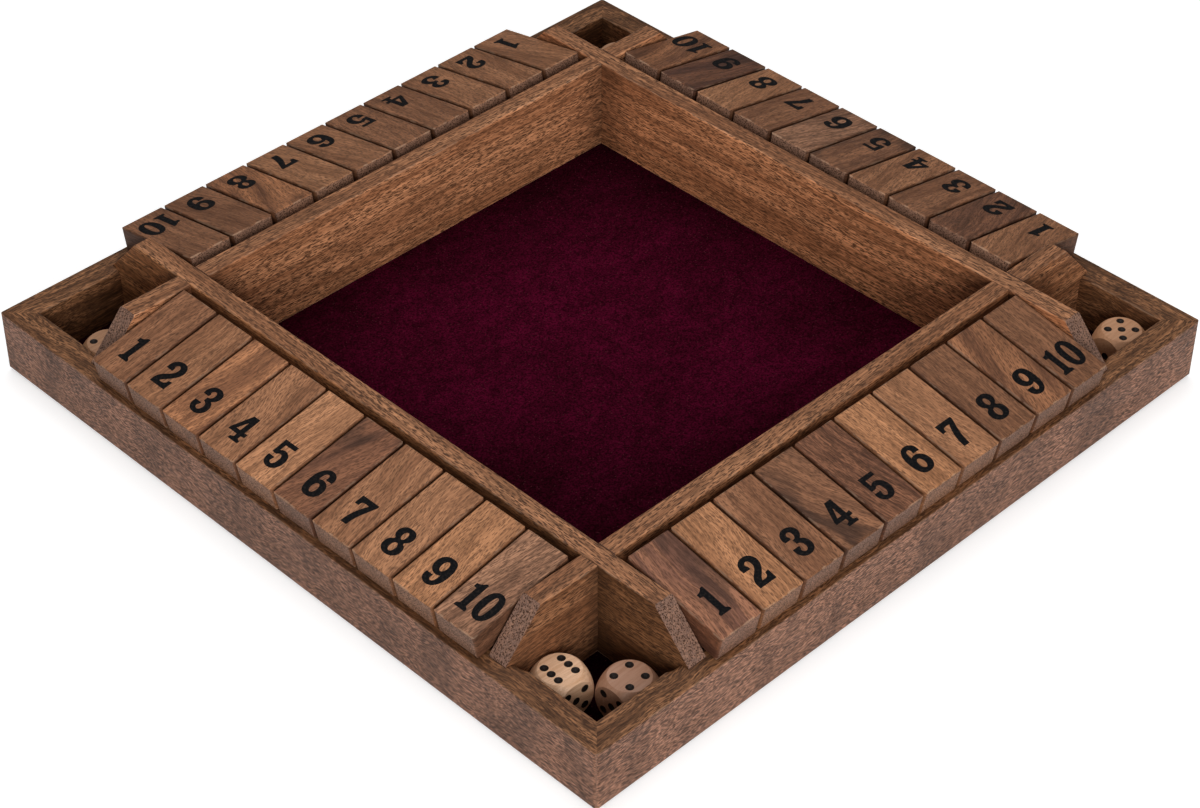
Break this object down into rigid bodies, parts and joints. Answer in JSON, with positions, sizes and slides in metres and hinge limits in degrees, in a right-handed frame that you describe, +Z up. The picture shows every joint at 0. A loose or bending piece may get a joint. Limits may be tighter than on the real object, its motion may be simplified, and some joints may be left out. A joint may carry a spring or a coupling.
{
  "type": "shut the box game",
  "caption": "Square shut the box board in dark wood: felt well inside crossing walls, hinged number tiles on a rod along every side, wooden dice in the corner pockets.",
  "frame": {"origin": "on the underside of the base, in the middle of the square box", "axes": "+Z up out of the open well; +X to the right and +Y away from the player at the front side, each at right angles to a side of the box"},
  "size_m": [0.341, 0.341, 0.0491],
  "materials": {
    "frame_wood": "dark open-pored hardwood, stained and oiled, satin",
    "wall_wood": "dark open-pored hardwood, oiled, satin",
    "tile_wood": "mixed brown hardwood, oiled, satin, tone varies from tile to tile",
    "tile_numbers": "black printed numbers",
    "base_plywood": "plain plywood, unfinished",
    "felt": "deep burgundy short-pile felt",
    "rod_steel": "bright drawn steel rod",
    "dice_wood": "pale close-grained hardwood, waxed",
    "dice_spots": "black paint in the drilled spots"
  },
  "bodies": {
    "box": {"frame_front": "frame_wood", "frame_right": "frame_wood", "frame_back": "frame_wood", "frame_left": "frame_wood", "wall_front": "wall_wood", "wall_right": "wall_wood", "wall_back": "wall_wood", "wall_left": "wall_wood", "base_panel": "base_plywood", "felt_lining": "felt", "hinge_rods": "rod_steel"},
    "tile_front_1": {"tile_front_1": "tile_wood"},
    "tile_front_2": {"tile_front_2": "tile_wood"},
    "tile_front_3": {"tile_front_3": "tile_wood"},
    "tile_front_4": {"tile_front_4": "tile_wood"},
    "tile_front_5": {"tile_front_5": "tile_wood"},
    "tile_front_6": {"tile_front_6": "tile_wood"},
    "tile_front_7": {"tile_front_7": "tile_wood"},
    "tile_front_8": {"tile_front_8": "tile_wood"},
    "tile_front_9": {"tile_front_9": "tile_wood"},
    "tile_front_10": {"tile_front_10": "tile_wood"},
    "tile_right_1": {"tile_right_1": "tile_wood"},
    "tile_right_2": {"tile_right_2": "tile_wood"},
    "tile_right_3": {"tile_right_3": "tile_wood"},
    "tile_right_4": {"tile_right_4": "tile_wood"},
    "tile_right_5": {"tile_right_5": "tile_wood"},
    "tile_right_6": {"tile_right_6": "tile_wood"},
    "tile_right_7": {"tile_right_7": "tile_wood"},
    "tile_right_8": {"tile_right_8": "tile_wood"},
    "tile_right_9": {"tile_right_9": "tile_wood"},
    "tile_right_10": {"tile_right_10": "tile_wood"},
    "tile_back_1": {"tile_back_1": "tile_wood"},
    "tile_back_2": {"tile_back_2": "tile_wood"},
    "tile_back_3": {"tile_back_3": "tile_wood"},
    "tile_back_4": {"tile_back_4": "tile_wood"},
    "tile_back_5": {"tile_back_5": "tile_wood"},
    "tile_back_6": {"tile_back_6": "tile_wood"},
    "tile_back_7": {"tile_back_7": "tile_wood"},
    "tile_back_8": {"tile_back_8": "tile_wood"},
    "tile_back_9": {"tile_back_9": "tile_wood"},
    "tile_back_10": {"tile_back_10": "tile_wood"},
    "tile_left_1": {"tile_left_1": "tile_wood"},
    "tile_left_2": {"tile_left_2": "tile_wood"},
    "tile_left_3": {"tile_left_3": "tile_wood"},
    "tile_left_4": {"tile_left_4": "tile_wood"},
    "tile_left_5": {"tile_left_5": "tile_wood"},
    "tile_left_6": {"tile_left_6": "tile_wood"},
    "tile_left_7": {"tile_left_7": "tile_wood"},
    "tile_left_8": {"tile_left_8": "tile_wood"},
    "tile_left_9": {"tile_left_9": "tile_wood"},
    "tile_left_10": {"tile_left_10": "tile_wood"},
    "die_1": {"die_1": "dice_wood"},
    "die_2": {"die_2": "dice_wood"},
    "die_3": {"die_3": "dice_wood"},
    "die_4": {"die_4": "dice_wood"},
    "die_5": {"die_5": "dice_wood"},
    "die_6": {"die_6": "dice_wood"},
    "die_7": {"die_7": "dice_wood"},
    "die_8": {"die_8": "dice_wood"}
  },
  "joints": [
    {"name": "hinge_front_1", "type": "hinge", "parent": "box", "child": "tile_front_1", "pos_m": [-0.09837, -0.12776, 0.04153], "axis": [-1, 0, 0], "range_deg": [0, 118]},
    {"name": "hinge_front_2", "type": "hinge", "parent": "box", "child": "tile_front_2", "pos_m": [-0.07651, -0.12776, 0.04153], "axis": [-1, 0, 0], "range_deg": [0, 118]},
    {"name": "hinge_front_3", "type": "hinge", "parent": "box", "child": "tile_front_3", "pos_m": [-0.05465, -0.12776, 0.04153], "axis": [-1, 0, 0], "range_deg": [0, 118]},
    {"name": "hinge_front_4", "type": "hinge", "parent": "box", "child": "tile_front_4", "pos_m": [-0.03279, -0.12776, 0.04153], "axis": [-1, 0, 0], "range_deg": [0, 118]},
    {"name": "hinge_front_5", "type": "hinge", "parent": "box", "child": "tile_front_5", "pos_m": [-0.01093, -0.12776, 0.04153], "axis": [-1, 0, 0], "range_deg": [0, 118]},
    {"name": "hinge_front_6", "type": "hinge", "parent": "box", "child": "tile_front_6", "pos_m": [0.01093, -0.12776, 0.04153], "axis": [-1, 0, 0], "range_deg": [0, 118]},
    {"name": "hinge_front_7", "type": "hinge", "parent": "box", "child": "tile_front_7", "pos_m": [0.03279, -0.12776, 0.04153], "axis": [-1, 0, 0], "range_deg": [0, 118]},
    {"name": "hinge_front_8", "type": "hinge", "parent": "box", "child": "tile_front_8", "pos_m": [0.05465, -0.12776, 0.04153], "axis": [-1, 0, 0], "range_deg": [0, 118]},
    {"name": "hinge_front_9", "type": "hinge", "parent": "box", "child": "tile_front_9", "pos_m": [0.07651, -0.12776, 0.04153], "axis": [-1, 0, 0], "range_deg": [0, 118]},
    {"name": "hinge_front_10", "type": "hinge", "parent": "box", "child": "tile_front_10", "pos_m": [0.09837, -0.12776, 0.04153], "axis": [-1, 0, 0], "range_deg": [0, 118]},
    {"name": "hinge_right_1", "type": "hinge", "parent": "box", "child": "tile_right_1", "pos_m": [0.12776, -0.09837, 0.04153], "axis": [0, -1, 0], "range_deg": [0, 118]},
    {"name": "hinge_right_2", "type": "hinge", "parent": "box", "child": "tile_right_2", "pos_m": [0.12776, -0.07651, 0.04153], "axis": [0, -1, 0], "range_deg": [0, 118]},
    {"name": "hinge_right_3", "type": "hinge", "parent": "box", "child": "tile_right_3", "pos_m": [0.12776, -0.05465, 0.04153], "axis": [0, -1, 0], "range_deg": [0, 118]},
    {"name": "hinge_right_4", "type": "hinge", "parent": "box", "child": "tile_right_4", "pos_m": [0.12776, -0.03279, 0.04153], "axis": [0, -1, 0], "range_deg": [0, 118]},
    {"name": "hinge_right_5", "type": "hinge", "parent": "box", "child": "tile_right_5", "pos_m": [0.12776, -0.01093, 0.04153], "axis": [0, -1, 0], "range_deg": [0, 118]},
    {"name": "hinge_right_6", "type": "hinge", "parent": "box", "child": "tile_right_6", "pos_m": [0.12776, 0.01093, 0.04153], "axis": [0, -1, 0], "range_deg": [0, 118]},
    {"name": "hinge_right_7", "type": "hinge", "parent": "box", "child": "tile_right_7", "pos_m": [0.12776, 0.03279, 0.04153], "axis": [0, -1, 0], "range_deg": [0, 118]},
    {"name": "hinge_right_8", "type": "hinge", "parent": "box", "child": "tile_right_8", "pos_m": [0.12776, 0.05465, 0.04153], "axis": [0, -1, 0], "range_deg": [0, 118]},
    {"name": "hinge_right_9", "type": "hinge", "parent": "box", "child": "tile_right_9", "pos_m": [0.12776, 0.07651, 0.04153], "axis": [0, -1, 0], "range_deg": [0, 118]},
    {"name": "hinge_right_10", "type": "hinge", "parent": "box", "child": "tile_right_10", "pos_m": [0.12776, 0.09837, 0.04153], "axis": [0, -1, 0], "range_deg": [0, 118]},
    {"name": "hinge_back_1", "type": "hinge", "parent": "box", "child": "tile_back_1", "pos_m": [0.09837, 0.12776, 0.04153], "axis": [1, 0, 0], "range_deg": [0, 118]},
    {"name": "hinge_back_2", "type": "hinge", "parent": "box", "child": "tile_back_2", "pos_m": [0.07651, 0.12776, 0.04153], "axis": [1, 0, 0], "range_deg": [0, 118]},
    {"name": "hinge_back_3", "type": "hinge", "parent": "box", "child": "tile_back_3", "pos_m": [0.05465, 0.12776, 0.04153], "axis": [1, 0, 0], "range_deg": [0, 118]},
    {"name": "hinge_back_4", "type": "hinge", "parent": "box", "child": "tile_back_4", "pos_m": [0.03279, 0.12776, 0.04153], "axis": [1, 0, 0], "range_deg": [0, 118]},
    {"name": "hinge_back_5", "type": "hinge", "parent": "box", "child": "tile_back_5", "pos_m": [0.01093, 0.12776, 0.04153], "axis": [1, 0, 0], "range_deg": [0, 118]},
    {"name": "hinge_back_6", "type": "hinge", "parent": "box", "child": "tile_back_6", "pos_m": [-0.01093, 0.12776, 0.04153], "axis": [1, 0, 0], "range_deg": [0, 118]},
    {"name": "hinge_back_7", "type": "hinge", "parent": "box", "child": "tile_back_7", "pos_m": [-0.03279, 0.12776, 0.04153], "axis": [1, 0, 0], "range_deg": [0, 118]},
    {"name": "hinge_back_8", "type": "hinge", "parent": "box", "child": "tile_back_8", "pos_m": [-0.05465, 0.12776, 0.04153], "axis": [1, 0, 0], "range_deg": [0, 118]},
    {"name": "hinge_back_9", "type": "hinge", "parent": "box", "child": "tile_back_9", "pos_m": [-0.07651, 0.12776, 0.04153], "axis": [1, 0, 0], "range_deg": [0, 118]},
    {"name": "hinge_back_10", "type": "hinge", "parent": "box", "child": "tile_back_10", "pos_m": [-0.09837, 0.12776, 0.04153], "axis": [1, 0, 0], "range_deg": [0, 118]},
    {"name": "hinge_left_1", "type": "hinge", "parent": "box", "child": "tile_left_1", "pos_m": [-0.12776, 0.09837, 0.04153], "axis": [0, 1, 0], "range_deg": [0, 118]},
    {"name": "hinge_left_2", "type": "hinge", "parent": "box", "child": "tile_left_2", "pos_m": [-0.12776, 0.07651, 0.04153], "axis": [0, 1, 0], "range_deg": [0, 118]},
    {"name": "hinge_left_3", "type": "hinge", "parent": "box", "child": "tile_left_3", "pos_m": [-0.12776, 0.05465, 0.04153], "axis": [0, 1, 0], "range_deg": [0, 118]},
    {"name": "hinge_left_4", "type": "hinge", "parent": "box", "child": "tile_left_4", "pos_m": [-0.12776, 0.03279, 0.04153], "axis": [0, 1, 0], "range_deg": [0, 118]},
    {"name": "hinge_left_5", "type": "hinge", "parent": "box", "child": "tile_left_5", "pos_m": [-0.12776, 0.01093, 0.04153], "axis": [0, 1, 0], "range_deg": [0, 118]},
    {"name": "hinge_left_6", "type": "hinge", "parent": "box", "child": "tile_left_6", "pos_m": [-0.12776, -0.01093, 0.04153], "axis": [0, 1, 0], "range_deg": [0, 118]},
    {"name": "hinge_left_7", "type": "hinge", "parent": "box", "child": "tile_left_7", "pos_m": [-0.12776, -0.03279, 0.04153], "axis": [0, 1, 0], "range_deg": [0, 118]},
    {"name": "hinge_left_8", "type": "hinge", "parent": "box", "child": "tile_left_8", "pos_m": [-0.12776, -0.05465, 0.04153], "axis": [0, 1, 0], "range_deg": [0, 118]},
    {"name": "hinge_left_9", "type": "hinge", "parent": "box", "child": "tile_left_9", "pos_m": [-0.12776, -0.07651, 0.04153], "axis": [0, 1, 0], "range_deg": [0, 118]},
    {"name": "hinge_left_10", "type": "hinge", "parent": "box", "child": "tile_left_10", "pos_m": [-0.12776, -0.09837, 0.04153], "axis": [0, 1, 0], "range_deg": [0, 118]},
    {"name": "lift_die_1", "type": "slide", "parent": "box", "child": "die_1", "axis": [0, 0, 1], "range_m": [0, 0.06]},
    {"name": "lift_die_2", "type": "slide", "parent": "box", "child": "die_2", "axis": [0, 0, 1], "range_m": [0, 0.06]},
    {"name": "lift_die_3", "type": "slide", "parent": "box", "child": "die_3", "axis": [0, 0, 1], "range_m": [0, 0.06]},
    {"name": "lift_die_4", "type": "slide", "parent": "box", "child": "die_4", "axis": [0, 0, 1], "range_m": [0, 0.06]},
    {"name": "lift_die_5", "type": "slide", "parent": "box", "child": "die_5", "axis": [0, 0, 1], "range_m": [0, 0.06]},
    {"name": "lift_die_6", "type": "slide", "parent": "box", "child": "die_6", "axis": [0, 0, 1], "range_m": [0, 0.06]},
    {"name": "lift_die_7", "type": "slide", "parent": "box", "child": "die_7", "axis": [0, 0, 1], "range_m": [0, 0.06]},
    {"name": "lift_die_8", "type": "slide", "parent": "box", "child": "die_8", "axis": [0, 0, 1], "range_m": [0, 0.06]}
  ]
}
